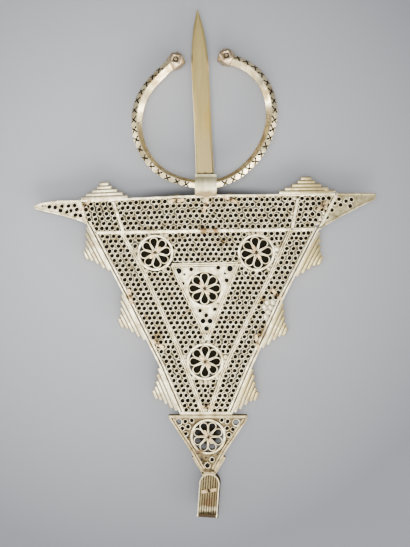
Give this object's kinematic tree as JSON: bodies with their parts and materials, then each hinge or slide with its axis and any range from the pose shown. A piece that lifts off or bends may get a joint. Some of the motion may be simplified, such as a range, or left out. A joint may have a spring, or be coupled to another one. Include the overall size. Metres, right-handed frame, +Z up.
{
  "type": "berber fibula brooch",
  "caption": "Large triangular openwork silver fibula with rosettes, stepped crests and horns, a straight pin, a swinging open ring with faceted knobs and a folded tail loop for a chain.",
  "frame": {"origin": "middle of the brooch's outline on the surface that it lies on, face down", "axes": "+X to the right as the back is seen, +Y from the tail loop to the pin's point, +Z up out of the plain back"},
  "size_m": [0.2056, 0.3068, 0.0142],
  "materials": {
    "plate_silver": "worn cream silver with black tarnish in its recesses",
    "pin_silver": "warm yellowish silver, filed lengthwise",
    "strap_silver": "worn silver with brown tarnish between its ribs",
    "ring_silver": "polished by wear, with dark engraved marks",
    "stud_silver": "soft silver wire, slightly pink"
  },
  "bodies": {
    "brooch": {"plate": "plate_silver", "pin": "pin_silver", "pin_loop": "strap_silver", "tail_loop": "strap_silver", "stud_01": "stud_silver", "stud_02": "stud_silver", "stud_03": "stud_silver", "stud_04": "stud_silver", "stud_05": "stud_silver", "stud_06": "stud_silver", "stud_07": "stud_silver", "stud_08": "stud_silver", "stud_09": "stud_silver", "stud_10": "stud_silver", "stud_11": "stud_silver", "stud_12": "stud_silver", "stud_13": "stud_silver", "stud_14": "stud_silver", "stud_15": "stud_silver", "stud_16": "stud_silver"},
    "ring": {"ring": "ring_silver", "ring_cap_left": "ring_silver", "ring_cap_right": "ring_silver"}
  },
  "joints": [
    {"name": "ring_swing", "type": "hinge", "parent": "brooch", "child": "ring", "pos_m": [0.00065, 0.04728, 0.00969], "axis": [1, 0, 0], "range_deg": [0, 165]}
  ]
}
